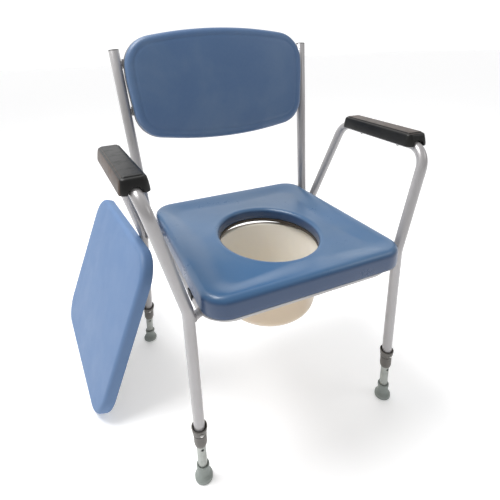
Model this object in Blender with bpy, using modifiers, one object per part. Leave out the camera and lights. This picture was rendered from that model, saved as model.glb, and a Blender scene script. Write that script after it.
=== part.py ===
"""Commode chair: welded tube side frames, height-adjustable legs, upholstered seat and back,
a pan that slides out at the rear and a loose upholstered seat cover that stands beside it.

Metres, +Z up. The chair faces -Y. The origin is the middle of the whole set's footprint.
"""

import math

import bmesh
import bpy
from mathutils import Matrix, Vector

# ---- driving dimensions ---------------------------------------------------------------------
gap = 0.0003                    # clearance left between touching pieces

tubeRadius = 0.0111             # 22 mm frame tube
tubeBore = 0.0100
legHalfWidth = 0.238            # front legs, from the chair's centre plane
legFrontY = -0.1885
seatBendZ = 0.415               # where the front leg turns outwards
rearHalfWidth = 0.2545
rearBendY = 0.1885
rearBendZ = 0.3975
rearFootOut = 0.0115            # the rear legs rake out and back from the bend
rearFootBack = 0.0878
armFront = (0.294, -0.186, 0.639)
armRear = (0.317, 0.122, 0.642)
armBendRadius = 0.046
seatBendRadius = 0.07

railHalfWidth = 0.2065          # seat rail, a U open at the rear, on the tube's centre line
railFrontY = -0.210
railRearY = 0.205
railCornerRadius = 0.055
railRadius = 0.0111
railBore = 0.0096
railZ = 0.3974
stubRadius = 0.0085

uprightRadius = 0.0125
uprightBore = 0.0112
uprightBase = (0.2335, 0.2020, 0.386)
uprightTop = (0.2600, 0.2648, 0.857)

backZ = 0.762                   # middle height of the backrest
backThickness = 0.0355
shellThickness = 0.006
seatHalfWidth = 0.2172
seatFrontY = -0.2400
seatRearY = 0.2375
seatCornerRadius = 0.050
seatBaseZ = 0.4120
seatBaseThickness = 0.007
seatCushionThickness = 0.0355
holeY = -0.0275
holeHalfX = 0.1105
holeHalfY = 0.1325
baseHoleInset = 0.001           # the board's edge shows inside the cushion's hole

panY = -0.0255                  # the pan hangs by its rim in two runners under the board
panRim = 0.136
panMouth = 0.1235
panFloorRadius = 0.1115
panCorner = 0.0355
panWall = 0.0022
panRimThickness = 0.003
panRimZ = 0.4044
panFloorZ = 0.2490
runnerStartY = -0.172
runnerEndY = 0.215

padHalfTop = 0.0185             # arm pads
padHalfBottom = 0.0262
padHeight = 0.0280
padStart = 0.075                # share of the arm, from the front bend
padEnd = 0.90

coverLength = 0.5100            # loose seat cover
coverWidth = 0.4320
coverThickness = 0.034
coverCornerRadius = 0.0700
coverCorner = (-0.4444, 0.0113) # lower front corner of the outer face, on the floor
coverHeading = 0.1250           # turn of its long edge from the chair's side
coverLean = 0.4050

legRadius = 0.0095              # 19 mm inner leg tube
legBore = 0.0083
legBottom = 0.0105              # axial heights, measured up the leg from the floor
legTop = 0.262
tubeEnd = 0.104
sleeveBottom = 0.0952
sleeveTop = 0.1262
collarBottom = 0.1266
collarTop = 0.1428
buttonZ = 0.1335
buttonRadius = 0.0032
buttonInner = 0.0139
lowestHoleZ = 0.0875
holePitch = 0.023
holeCount = 7


# ---- scene and materials --------------------------------------------------------------------
for item in list(bpy.data.objects):
    bpy.data.objects.remove(item, do_unlink=True)

parts = bpy.data.collections.new("commode_chair")
cutters = bpy.data.collections.new("cutters")
bpy.context.scene.collection.children.link(parts)
bpy.context.scene.collection.children.link(cutters)

origin = bpy.data.objects.new("chair_origin", None)
parts.objects.link(origin)


def material(name, colour, roughness, metallic=0.0):
    made = bpy.data.materials.new(name)
    made.use_nodes = True
    shader = made.node_tree.nodes["Principled BSDF"]
    shader.inputs["Base Color"].default_value = (*colour, 1.0)
    shader.inputs["Roughness"].default_value = roughness
    shader.inputs["Metallic"].default_value = metallic
    return made


framePaint = material("frame_paint", (0.47, 0.47, 0.48), 0.35, 0.6)
zincTube = material("zinc_tube", (0.40, 0.42, 0.40), 0.4, 0.8)
greyPlastic = material("grey_plastic", (0.12, 0.115, 0.105), 0.5)
greyRubber = material("grey_rubber", (0.25, 0.28, 0.26), 0.7)
blackPlastic = material("black_plastic", (0.012, 0.012, 0.013), 0.38)
blueVinyl = material("blue_vinyl", (0.075, 0.16, 0.29), 0.35)
coverVinyl = material("cover_vinyl", (0.13, 0.23, 0.44), 0.5)
ivoryPlastic = material("ivory_plastic", (0.75, 0.71, 0.63), 0.35)
boardPlastic = material("board_plastic", (0.55, 0.55, 0.55), 0.5)
brightSteel = material("bright_steel", (0.6, 0.6, 0.6), 0.25, 1.0)


# ---- building helpers -----------------------------------------------------------------------
def adopt(obj, finish, smoothAngle=35):
    """Puts a finished piece in the chair's collection with its material and shading."""
    obj.data.materials.clear()
    obj.data.materials.append(finish)
    obj.data.shade_smooth()
    obj.data.set_sharp_from_angle(angle=math.radians(smoothAngle))
    obj.parent = origin
    return obj


def meshObject(name, mesh, collection=parts):
    obj = bpy.data.objects.new(name, mesh)
    collection.objects.link(obj)
    return obj


def fromBmesh(name, bm, collection=parts):
    mesh = bpy.data.meshes.new(name)
    bmesh.ops.recalc_face_normals(bm, faces=bm.faces)
    bm.to_mesh(mesh)
    bm.free()
    return meshObject(name, mesh, collection)


def asCutter(obj):
    for group in list(obj.users_collection):
        group.objects.unlink(obj)
    cutters.objects.link(obj)
    obj.hide_render = True
    obj.display_type = "WIRE"
    obj.parent = origin
    return obj


def cut(obj, cutter, operation="DIFFERENCE"):
    step = obj.modifiers.new(cutter.name, "BOOLEAN")
    step.operation = operation
    step.solver = "EXACT"
    step.object = cutter


def baked(obj):
    """Replaces an object's mesh by its evaluated one, so that it can be sheared or shared."""
    bpy.context.view_layer.update()
    graph = bpy.context.evaluated_depsgraph_get()
    mesh = bpy.data.meshes.new_from_object(obj.evaluated_get(graph))
    obj.modifiers.clear()
    obj.data = mesh
    return obj


def filletPath(corners, radii, segments, closed=False):
    """Points of a path whose corners are rounded by arcs of the given radii."""
    corners = [Vector(c) for c in corners]
    count = len(corners)
    points = []
    for i, corner in enumerate(corners):
        if not closed and i in (0, count - 1):
            points.append(corner)
            continue
        before = (corners[i - 1] - corner).normalized()
        after = (corners[(i + 1) % count] - corner).normalized()
        half = before.angle(after) / 2
        reach = radii[i] / math.tan(half)
        centre = corner + (before + after).normalized() * (radii[i] / math.sin(half))
        start = corner + before * reach - centre
        end = corner + after * reach - centre
        sweep = start.angle(end)
        for k in range(segments + 1):
            t = k / segments
            a = math.sin((1 - t) * sweep) / math.sin(sweep)
            b = math.sin(t * sweep) / math.sin(sweep)
            points.append(centre + start * a + end * b)
    return points


def tube(name, points, radius, resolution=5, closed=False):
    """A round tube along the points, as a welded mesh."""
    curve = bpy.data.curves.new(name, "CURVE")
    curve.dimensions = "3D"
    curve.bevel_depth = radius
    curve.bevel_resolution = resolution
    curve.use_fill_caps = not closed
    spline = curve.splines.new("POLY")
    spline.points.add(len(points) - 1)
    for slot, point in zip(spline.points, points):
        slot.co = (*point, 1.0)
    spline.use_cyclic_u = closed
    guide = meshObject(name + "_curve", curve)
    bpy.context.view_layer.update()
    graph = bpy.context.evaluated_depsgraph_get()
    mesh = bpy.data.meshes.new_from_object(guide.evaluated_get(graph))
    bm = bmesh.new()
    bm.from_mesh(mesh)
    bmesh.ops.remove_doubles(bm, verts=bm.verts, dist=1e-6)
    bmesh.ops.recalc_face_normals(bm, faces=bm.faces)
    bm.to_mesh(mesh)
    bm.free()
    mesh.name = name
    made = meshObject(name, mesh)
    made.matrix_world = guide.matrix_world
    bpy.data.objects.remove(guide, do_unlink=True)
    bpy.data.curves.remove(curve)
    return made


def cylinder(name, start, end, radius, sides=12, collection=parts, endRadius=None):
    start, end = Vector(start), Vector(end)
    span = end - start
    bm = bmesh.new()
    bmesh.ops.create_cone(bm, cap_ends=True, segments=sides, radius1=radius,
                          radius2=radius if endRadius is None else endRadius, depth=span.length)
    turn = Vector((0, 0, 1)).rotation_difference(span).to_matrix().to_4x4()
    bm.transform(Matrix.Translation((start + end) / 2) @ turn)
    return fromBmesh(name, bm, collection)


def box(name, low, high, collection=parts):
    low, high = Vector(low), Vector(high)
    bm = bmesh.new()
    bmesh.ops.create_cube(bm, size=1.0)
    size = high - low
    bm.transform(Matrix.Translation((low + high) / 2) @ Matrix.Diagonal((*size, 1.0)))
    return fromBmesh(name, bm, collection)


def turned(name, profile, sides):
    """A closed profile of (radius, height) pairs, turned about Z."""
    mesh = bpy.data.meshes.new(name)
    count = len(profile)
    onAxis = profile[0][0] == 0 and profile[-1][0] == 0
    edges = [(i, i + 1) for i in range(count - 1)]
    if not onAxis:
        edges.append((count - 1, 0))
    mesh.from_pydata([(r, 0.0, z) for r, z in profile], edges, [])
    obj = meshObject(name, mesh)
    screw = obj.modifiers.new("turn", "SCREW")
    screw.steps = sides
    screw.render_steps = sides
    screw.use_merge_vertices = True
    screw.merge_threshold = 1e-5
    return obj


def slab(name, outline, low, high, bevel=0.0, segments=2):
    """A flat outline of (x, y) points, extruded from low to high and rounded at its rims."""
    bm = bmesh.new()
    face = bm.faces.new([bm.verts.new((x, y, low)) for x, y in outline])
    lifted = bmesh.ops.extrude_face_region(bm, geom=[face])
    top = [v for v in lifted["geom"] if isinstance(v, bmesh.types.BMVert)]
    bmesh.ops.translate(bm, verts=top, vec=(0, 0, high - low))
    obj = fromBmesh(name, bm)
    if bevel:
        rounding = obj.modifiers.new("rounding", "BEVEL")
        rounding.width = bevel
        rounding.segments = segments
        rounding.limit_method = "ANGLE"
        rounding.angle_limit = math.radians(60)
    return obj


def roundedRectangle(x0, x1, y0, y1, radius, segments=6):
    corners = ((x1, y0, 0), (x1, y1, 0), (x0, y1, 0), (x0, y0, 0))
    return [(p.x, p.y) for p in filletPath(corners, [radius] * 4, segments, closed=True)]


def oval(centreY, halfX, halfY, sides):
    steps = [2 * math.pi * i / sides for i in range(sides)]
    return [(halfX * math.cos(a), centreY + halfY * math.sin(a)) for a in steps]


def mirrored(point, side):
    return Vector((side * point[0], point[1], point[2]))


# ---- side frames ----------------------------------------------------------------------------
sides = {"left": -1, "right": 1}


def legLine(side, isFront):
    """Where a leg's axis meets the floor, and its direction up the leg."""
    if isFront:
        return Vector((side * legHalfWidth, legFrontY, 0)), Vector((0, 0, 1))
    foot = Vector((side * (rearHalfWidth + rearFootOut), rearBendY + rearFootBack, 0))
    bend = Vector((side * rearHalfWidth, rearBendY, rearBendZ))
    return foot, (bend - foot).normalized()


def sideFramePath(side, endHeight):
    rearFoot, rearUp = legLine(side, False)
    frontFoot, frontUp = legLine(side, True)
    corners = [
        rearFoot + rearUp * endHeight,
        (side * rearHalfWidth, rearBendY, rearBendZ),
        mirrored(armRear, side),
        mirrored(armFront, side),
        (side * legHalfWidth, legFrontY, seatBendZ),
        frontFoot + frontUp * endHeight,
    ]
    radii = [0, seatBendRadius, armBendRadius, armBendRadius, seatBendRadius, 0]
    return filletPath(corners, radii, 4)


def legMatrix(side, isFront):
    foot, up = legLine(side, isFront)
    turn = Vector((0, 0, 1)).rotation_difference(up).to_matrix().to_4x4()
    return Matrix.Translation(foot) @ turn


def armPoint(side, share, drop=0.0):
    point = mirrored(armFront, side).lerp(mirrored(armRear, side), share)
    return point - Vector((0, 0, drop))


armScrewShares = (0.28, 0.72)
frameClearance = {}
for sideName, side in sides.items():
    frame = tube("side_frame_" + sideName, sideFramePath(side, tubeEnd), tubeRadius)
    bore = asCutter(tube("bore_" + sideName, sideFramePath(side, tubeEnd - 0.004), tubeBore, 4))
    cut(frame, bore)
    for isFront in (True, False):
        place = legMatrix(side, isFront)
        label = ("front_" if isFront else "rear_") + sideName
        hole = cylinder("button_hole_" + label, place @ Vector((0, -0.02, buttonZ)),
                        place @ Vector((0, 0, buttonZ)), buttonRadius + 0.0004, 12, cutters)
        cut(frame, asCutter(hole))
    for k, share in enumerate(armScrewShares):
        hole = cylinder(f"arm_hole_{sideName}_{k}", armPoint(side, share, 0.016),
                        armPoint(side, share, -0.022), 0.0024, 10, cutters)
        cut(frame, asCutter(hole))
    adopt(frame, framePaint)
    clearance = tube("clearance_" + sideName, sideFramePath(side, tubeEnd - 0.01), tubeRadius + gap)
    frameClearance[sideName] = asCutter(clearance)

# ---- seat rail and the stubs that join it to the side frames ----------------------------------
def railPath(extra=0.0):
    corners = (
        (railHalfWidth, railRearY + extra, railZ),
        (railHalfWidth, railFrontY, railZ),
        (-railHalfWidth, railFrontY, railZ),
        (-railHalfWidth, railRearY + extra, railZ),
    )
    return filletPath(corners, [railCornerRadius] * 4, 5)


seatRail = tube("seat_rail", railPath(), railRadius)
cut(seatRail, asCutter(tube("rail_bore", railPath(0.004), railBore, 3)))
adopt(seatRail, framePaint)
railClearance = asCutter(tube("rail_clearance", railPath(), railRadius + gap))

stubEnds = {
    "front": ((railHalfWidth, -0.172, railZ), (legHalfWidth + 0.001, legFrontY, railZ)),
    "rear": ((railHalfWidth - 0.004, 0.158, railZ), (rearHalfWidth + 0.001, rearBendY, railZ)),
}
for sideName, side in sides.items():
    for end, (inner, outer) in stubEnds.items():
        stub = cylinder(f"frame_stub_{end}_{sideName}", mirrored(inner, side),
                        mirrored(outer, side), stubRadius, 12)
        cut(stub, railClearance)
        cut(stub, frameClearance[sideName])
        adopt(stub, framePaint)
    plug = turned("rail_plug_" + sideName,
                  ((0, 0.0022), (0.0092, 0.0022), (0.0108, 0.0014), (0.0108, gap), (0.0088, gap),
                   (0.0086, -0.012), (0, -0.012)), 12)
    plug.rotation_euler = (-math.pi / 2, 0, 0)
    plug.location = (side * railHalfWidth, railRearY, railZ)
    adopt(plug, blackPlastic)

# ---- backrest -------------------------------------------------------------------------------
recline = math.atan2(uprightTop[1] - uprightBase[1], uprightTop[2] - uprightBase[2])
backShare = (backZ - uprightBase[2]) / (uprightTop[2] - uprightBase[2])
backY = uprightBase[1] + backShare * (uprightTop[1] - uprightBase[1])
# Local axes of the backrest: X across, Y up the uprights, Z towards the sitter.
backPlace = Matrix.Translation((0, backY, backZ)) @ Matrix.Rotation(math.pi / 2 - recline, 4, "X")


def uprightX(z):
    share = (z - uprightBase[2]) / (uprightTop[2] - uprightBase[2])
    return uprightBase[0] + share * (uprightTop[0] - uprightBase[0])


def backOutline(grow=0.0, segments=6):
    """The backrest's rounded shape: bowed top, full sides and wide lower corners."""
    corners = (
        (0.2420 + grow, 0.8768 + grow), (0, 0.9150 + grow), (-0.2420 - grow, 0.8768 + grow),
        (-0.2420 - grow, 0.785), (-0.2275 - grow, 0.6485 - grow), (0, 0.6132 - grow),
        (0.2275 + grow, 0.6485 - grow), (0.2420 + grow, 0.785),
    )
    radii = (0.074, 1.06, 0.074, 0.30, 0.070, 0.95, 0.070, 0.30)
    flat = [(x, (z - backZ) / math.cos(recline), 0) for x, z in corners]
    return [(p.x, p.y) for p in filletPath(flat, radii, segments, closed=True)]


for sideName, side in sides.items():
    base, top = mirrored(uprightBase, side), mirrored(uprightTop, side)
    upright = tube("upright_" + sideName, [base, top], uprightRadius)
    axis = (top - base).normalized()
    hollow = tube("upright_bore_" + sideName, [base - axis * 0.01, top + axis * 0.01], uprightBore)
    cut(upright, asCutter(hollow))
    adopt(upright, framePaint)
    cap = turned("upright_cap_" + sideName,
                 ((0, 0.0020), (0.0108, 0.0020), (0.0124, 0.0012), (0.0124, gap),
                  (0.0108, gap), (0.0105, -0.014), (0, -0.014)), 16)
    turn = Vector((0, 0, 1)).rotation_difference(axis)
    cap.rotation_mode = "QUATERNION"
    cap.rotation_quaternion = turn
    cap.location = top
    adopt(cap, blackPlastic)

shell = slab("back_shell", backOutline(0.0012, 3), 0.0, shellThickness, 0.002, 1)
shell.matrix_local = backPlace
adopt(shell, boardPlastic)
cushion = slab("back_cushion", backOutline(0.0, 4), shellThickness + gap,
               shellThickness + backThickness, 0.013, 3)
cushion.matrix_local = backPlace
adopt(cushion, blueVinyl)

bracketHeights = {"upper": 0.826, "lower": 0.712}
for sideName, side in sides.items():
    for level, height in bracketHeights.items():
        along = (height - backZ) / math.cos(recline)
        reach = uprightX(height - 0.012) - uprightRadius - 0.0006
        ends = sorted((side * reach, side * (reach - 0.034)))
        bracket = box(f"back_bracket_{level}_{sideName}", (ends[0], along - 0.011, -0.0034),
                      (ends[1], along + 0.011, -gap))
        screwX = side * (reach - 0.022)
        hole = cylinder(f"bracket_hole_{level}_{sideName}", (screwX, along, -0.02),
                        (screwX, along, 0.0045), 0.0025, 10, cutters)
        asCutter(hole).matrix_local = backPlace
        cut(bracket, hole)
        cut(shell, hole)
        bracket.matrix_local = backPlace
        adopt(bracket, framePaint)
        screw = turned(f"back_screw_{level}_{sideName}",
                       ((0, -0.0037), (0.0042, -0.0037), (0.0042, -0.0048), (0.0030, -0.0060),
                        (0, -0.0064)), 12)
        shank = cylinder(f"back_shank_{level}_{sideName}", (0, 0, -0.005), (0, 0, 0.0040),
                         0.0020, 12, cutters)
        asCutter(shank).matrix_local = backPlace @ Matrix.Translation((screwX, along, 0))
        cut(screw, shank, "UNION")
        screw.matrix_local = backPlace @ Matrix.Translation((screwX, along, 0))
        adopt(screw, brightSteel)

# ---- seat, its clips, the runners and the pan --------------------------------------------------------------
seatOutline = roundedRectangle(-seatHalfWidth, seatHalfWidth, seatFrontY, seatRearY,
                               seatCornerRadius, 6)
seatTop = seatBaseZ + seatBaseThickness + seatCushionThickness
seatBase = slab("seat_base", roundedRectangle(
    -seatHalfWidth + 0.004, seatHalfWidth - 0.004, seatFrontY + 0.004, seatRearY - 0.004,
    seatCornerRadius - 0.004, 5), seatBaseZ, seatBaseZ + seatBaseThickness)
baseHole = slab("seat_base_hole", oval(holeY, holeHalfX - baseHoleInset,
                holeHalfY - baseHoleInset, 32), seatBaseZ - 0.01, seatTop + 0.01)
cut(seatBase, asCutter(baseHole))
adopt(seatBase, boardPlastic)

seatCushion = slab("seat_cushion", seatOutline, seatBaseZ + seatBaseThickness + gap, seatTop,
                   0.012, 3)
cushionHole = slab("seat_cushion_hole", oval(holeY, holeHalfX, holeHalfY, 32),
                   seatBaseZ, seatTop + 0.01)
cut(seatCushion, asCutter(cushionHole))
adopt(seatCushion, blueVinyl)

clipHalf = 0.0122
clipPlaces = {"front": -0.125, "rear": 0.105}
for sideName, side in sides.items():
    for end, clipY in clipPlaces.items():
        x = side * railHalfWidth
        clip = box(f"seat_clip_{end}_{sideName}", (x - clipHalf, clipY - 0.012, railZ),
                   (x + clipHalf, clipY + 0.012, seatBaseZ - gap))
        saddle = cylinder(f"clip_saddle_{end}_{sideName}", (x, clipY - 0.02, railZ),
                          (x, clipY + 0.02, railZ), railRadius + 0.0004, 14, cutters)
        cut(clip, asCutter(saddle))
        adopt(clip, blackPlastic)

runnerProfile = (
    # Across and height: a foot under the board, a web, and a lip that carries the pan's rim.
    (panRim + 0.014, seatBaseZ - gap), (panRim + 0.0010, seatBaseZ - gap),
    (panRim + 0.0010, panRimZ - panRimThickness - gap),
    (panMouth + 0.0055, panRimZ - panRimThickness - gap),
    (panMouth + 0.0055, panRimZ - panRimThickness - 0.0023),
    (panRim + 0.0030, panRimZ - panRimThickness - 0.0023),
    (panRim + 0.0030, seatBaseZ - gap - 0.0018), (panRim + 0.014, seatBaseZ - gap - 0.0018),
)
for sideName, side in sides.items():
    bm = bmesh.new()
    ends = []
    for y in (runnerStartY, runnerEndY):
        ends.append([bm.verts.new((side * x, y, z)) for x, z in runnerProfile])
    for i in range(len(runnerProfile)):
        j = (i + 1) % len(runnerProfile)
        bm.faces.new((ends[0][i], ends[0][j], ends[1][j], ends[1][i]))
    bm.faces.new(ends[0])
    bm.faces.new(ends[1])
    adopt(fromBmesh("pan_runner_" + sideName, bm), boardPlastic)


def panProfile():
    """Radius and height, from the middle of the floor up the outside, then down the inside."""
    lip = panRimZ - panRimThickness
    centreR = panFloorRadius - panCorner
    centreZ = panFloorZ + panCorner
    turn = [math.radians(a) for a in (90, 60, 30, 0)]
    outer = [(centreR + panCorner * math.cos(a), centreZ - panCorner * math.sin(a)) for a in turn]
    small = panCorner - panWall
    inner = [(centreR + small * math.cos(a), centreZ - small * math.sin(a)) for a in turn]
    rim = [(panMouth, lip), (panRim, lip), (panRim, panRimZ), (panMouth - panWall, panRimZ)]
    floor = [(0, panFloorZ)]
    return floor + outer + rim + list(reversed(inner)) + [(0, panFloorZ + panWall)]


pan = turned("pan", tuple(reversed(panProfile())), 28)
pan.location = (0, panY, 0)
adopt(pan, ivoryPlastic, 50)

# ---- arm pads ---------------------------------------------------------------------------------
padStations = ((0.0, 0.80, 0.62), (0.012, 1.0, 0.93), (0.05, 1.0, 1.0), (0.95, 1.0, 1.0),
               (0.988, 1.0, 0.93), (1.0, 0.80, 0.62))


def armPad(name, side):
    """A saddle pad, lofted along the arm: wide skirt, narrower top, rounded ends."""
    front, rear = armPoint(side, padStart), armPoint(side, padEnd)
    section = ((-padHalfBottom, -0.001), (padHalfBottom, -0.001), (padHalfBottom - 0.0012, 0.006),
               (padHalfTop + 0.0022, padHeight - 0.003), (padHalfTop - 0.001, padHeight),
               (-padHalfTop + 0.001, padHeight), (-padHalfTop - 0.0022, padHeight - 0.003),
               (-padHalfBottom + 0.0012, 0.006))
    bm = bmesh.new()
    rings = []
    for share, width, height in padStations:
        middle = front.lerp(rear, share)
        ring = []
        for x, z in section:
            lift = z if z < 0.01 else z * (0.9 + 0.1 * height) - 0.002 * (1 - height)
            ring.append(bm.verts.new(middle + Vector((x * width, 0, lift))))
        rings.append(ring)
    for first, second in zip(rings, rings[1:]):
        for i in range(len(section)):
            j = (i + 1) % len(section)
            bm.faces.new((first[i], first[j], second[j], second[i]))
    bm.faces.new(rings[0])
    bm.faces.new(list(reversed(rings[-1])))
    return fromBmesh(name, bm)


for sideName, side in sides.items():
    pad = armPad("arm_pad_" + sideName, side)
    cut(pad, frameClearance[sideName])
    for k, share in enumerate(armScrewShares):
        label = f"{sideName}_{'front' if k == 0 else 'rear'}"
        pilot = cylinder("arm_pilot_" + label, armPoint(side, share), armPoint(side, share, -0.0195),
                         0.0023, 10, cutters)
        cut(pad, asCutter(pilot))
        screw = turned("arm_screw_" + label,
                       ((0, 0.0186), (0.0020, 0.0180), (0.0020, -tubeRadius - gap),
                        (0.0040, -tubeRadius - gap), (0.0040, -tubeRadius - 0.0014),
                        (0.0028, -tubeRadius - 0.0026), (0, -tubeRadius - 0.0028)), 10)
        screw.location = armPoint(side, share)
        adopt(screw, brightSteel)
    adopt(pad, blackPlastic)

# ---- adjustable legs --------------------------------------------------------------------------
ferruleProfile = (
    (0.0102, 0.0398), (0.0131, 0.0398), (0.0131, 0.0325), (0.0122, 0.0312),
    (0.0126, 0.0200), (0.0150, 0.0135), (0.0186, 0.0100), (0.0186, 0.0030),
    (0.0170, 0.0), (0.0, 0.0), (0.0, 0.0060), (0.0102, 0.0060),
)
sleeveProfile = (
    (0.0115, sleeveTop), (0.0134, sleeveTop), (0.0134, sleeveTop - 0.0036),
    (0.0129, sleeveTop - 0.0046), (0.0131, 0.1060),
    (0.0124, 0.0990), (0.0106, sleeveBottom), (0.0099, sleeveBottom),
    (0.0099, tubeEnd - gap), (0.0115, tubeEnd - gap),
)
collarProfile = (
    (0.0134, collarTop), (0.0154, collarTop), (0.0159, collarTop - 0.0012),
    (0.0157, collarTop - 0.0040), (0.0146, 0.1325), (0.0134, 0.1280), (0.0130, collarBottom),
    (0.0115, collarBottom), (0.0115, 0.1345), (0.0128, 0.1385),
)
buttonProfile = ((0, -0.0030), (0.0014, -0.0028), (0.0026, -0.0018), (0.0032, -0.0004),
                 (0.0032, 0.0), (0.0032, 0.0003), (0, 0.0003))


def legSet(label, side, isFront):
    """One leg: inner tube with its row of holes, end sleeve, locking collar, button, ferrule."""
    foot, up = legLine(side, isFront)
    place = legMatrix(side, isFront)

    extension = turned("leg_tube_" + label, ((legBore, legTop), (legRadius, legTop),
                       (legRadius, legBottom), (legBore, legBottom)), 14)
    for k in range(holeCount):
        z = lowestHoleZ + k * holePitch
        hole = cylinder(f"leg_hole_{label}_{k}", (0, -0.016, z), (0, -0.002, z), 0.0033, 8, cutters)
        asCutter(hole).matrix_local = place
        cut(extension, hole)
    extension.matrix_local = place
    adopt(extension, zincTube)

    sleeve = turned("leg_sleeve_" + label, sleeveProfile, 14)
    sleeve.matrix_local = place
    adopt(sleeve, greyPlastic)

    collar = turned("lock_collar_" + label, collarProfile, 14)
    opening = cylinder("collar_hole_" + label, (0, -0.02, buttonZ), (0, -0.002, buttonZ),
                       buttonRadius + 0.0004, 12, cutters)
    asCutter(opening).matrix_local = place
    cut(collar, opening)
    collar.matrix_local = place
    adopt(collar, greyPlastic)

    button = turned("lock_button_" + label, tuple((r, -z) for r, z in buttonProfile), 12)
    button.matrix_local = place @ Matrix.Translation((0, -buttonInner - 0.0003, buttonZ)) \
        @ Matrix.Rotation(math.pi / 2, 4, "X")
    adopt(button, brightSteel)

    ferrule = baked(turned("ferrule_" + label, ferruleProfile, 14))
    shear = Matrix.Identity(4)
    shear[0][2] = up.x / up.z
    shear[1][2] = up.y / up.z
    ferrule.data.transform(shear)
    ferrule.location = foot
    adopt(ferrule, greyRubber)


for sideName, side in sides.items():
    legSet("front_" + sideName, side, True)
    legSet("rear_" + sideName, side, False)

# ---- loose seat cover, leaning on the left rear bend -------------------------------------------
# Local axes of the cover: X along its long edge, Y up its leaning face, Z out of that face.
along = Vector((-math.sin(coverHeading), math.cos(coverHeading), 0))
level = Vector((math.cos(coverHeading), math.sin(coverHeading), 0))
rise = level * math.sin(coverLean) + Vector((0, 0, math.cos(coverLean)))
outward = -level * math.cos(coverLean) + Vector((0, 0, math.sin(coverLean)))
coverPlace = Matrix((along, rise, outward)).transposed().to_4x4()
coverPlace.translation = (*coverCorner, coverThickness * math.sin(coverLean))

coverCushion = slab("cover_cushion", roundedRectangle(0, coverLength, 0, coverWidth,
                    coverCornerRadius, 6), -coverThickness, 0, 0.009, 3)
coverCushion.matrix_local = coverPlace
recess = slab("cover_recess", roundedRectangle(0.012, coverLength - 0.012, 0.012,
              coverWidth - 0.012, coverCornerRadius - 0.012, 4), -coverThickness - 0.01,
              -coverThickness + 0.0045)
asCutter(recess).matrix_local = coverPlace
cut(coverCushion, recess)
adopt(coverCushion, coverVinyl)
coverBase = slab("cover_base", roundedRectangle(0.0125, coverLength - 0.0125, 0.0125,
                 coverWidth - 0.0125, coverCornerRadius - 0.0125, 4), -coverThickness + 0.0004,
                 -coverThickness + 0.0045 - gap)
coverBase.matrix_local = coverPlace
adopt(coverBase, boardPlastic)

# ---- the origin: the middle of the set's footprint, on the floor -------------------------------
bpy.context.view_layer.update()
graph = bpy.context.evaluated_depsgraph_get()
corners = []
for obj in parts.objects:
    if obj.type == "MESH":
        corners += [obj.matrix_world @ v.co for v in obj.evaluated_get(graph).data.vertices]
for i in (0, 1):
    reach = [corner[i] for corner in corners]
    origin.location[i] = -(min(reach) + max(reach)) / 2
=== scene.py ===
import math

import bmesh
import bpy
from mathutils import Matrix, Vector


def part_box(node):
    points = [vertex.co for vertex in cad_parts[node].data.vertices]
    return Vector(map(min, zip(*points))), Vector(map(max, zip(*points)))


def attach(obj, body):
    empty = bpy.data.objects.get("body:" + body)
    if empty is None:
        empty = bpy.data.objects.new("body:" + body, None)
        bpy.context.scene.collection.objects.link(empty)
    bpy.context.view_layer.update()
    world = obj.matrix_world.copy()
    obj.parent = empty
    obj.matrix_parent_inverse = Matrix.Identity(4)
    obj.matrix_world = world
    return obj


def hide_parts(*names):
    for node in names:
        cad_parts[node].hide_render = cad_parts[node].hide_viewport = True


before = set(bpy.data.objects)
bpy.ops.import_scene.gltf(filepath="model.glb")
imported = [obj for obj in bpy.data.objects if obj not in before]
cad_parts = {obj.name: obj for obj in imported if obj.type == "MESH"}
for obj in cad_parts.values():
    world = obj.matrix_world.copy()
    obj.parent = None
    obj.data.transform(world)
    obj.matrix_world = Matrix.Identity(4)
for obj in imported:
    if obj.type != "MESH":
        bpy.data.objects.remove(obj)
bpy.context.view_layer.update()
print("frame loaded,", len(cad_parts), "nodes")

# The chair's own axes: x from its centre plane, y back from the middle, z up from the floor.
chair = {
    "seatFront": -0.2400,
    "seatHalfWidth": 0.2172,
    "seatRear": 0.2375,
    "tubeRadius": 0.0111,
    "legHalfWidth": 0.238,
    "legFrontY": -0.1885,
    "seatBendZ": 0.415,
    "rearHalfWidth": 0.2545,
    "rearBendY": 0.1885,
    "rearBendZ": 0.3975,
    "rearFootOut": 0.0115,
    "rearFootBack": 0.0878,
    "armFront": (0.294, -0.186, 0.639),
    "armRear": (0.317, 0.122, 0.642),
    "armBend": 0.046,
    "seatBend": 0.07,
    "tubeEnd": 0.104,
    "buttonZ": 0.1335,
    "buttonHole": 0.0036,
    "holeY": -0.0275,
    "panY": -0.0255,
}
leftLow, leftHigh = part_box("ferrule_front_left")
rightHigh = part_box("ferrule_front_right")[1]
home = Vector(((leftLow.x + rightHigh.x) / 2, (leftLow.y + leftHigh.y) / 2 - chair["legFrontY"], 0))
sides = {"left": -1, "right": 1}


def at(x, y, z):
    return home + Vector((x, y, z))


# ---- shader graphs ----
class Wire:  # one output socket that can be used in an expression
    def __init__(self, surface, socket):
        self.surface = surface
        self.socket = socket

    def mathWith(self, operation, *values):
        return self.surface.add("ShaderNodeMath", {"operation": operation}, dict(enumerate(values)))

    def __add__(self, other):
        return self.mathWith("ADD", self, other)

    def __sub__(self, other):
        return self.mathWith("SUBTRACT", self, other)

    def __mul__(self, other):
        return self.mathWith("MULTIPLY", self, other)

    def __radd__(self, other):
        return self.mathWith("ADD", other, self)

    def __rsub__(self, other):
        return self.mathWith("SUBTRACT", other, self)

    def __rmul__(self, other):
        return self.mathWith("MULTIPLY", other, self)

    def smooth(self, low, high, first=0.0, last=1.0):
        return self.surface.add(
            "ShaderNodeMapRange",
            {"interpolation_type": "SMOOTHSTEP"},
            {"Value": self, "From Min": low, "From Max": high, "To Min": first, "To Max": last},
        )


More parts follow.
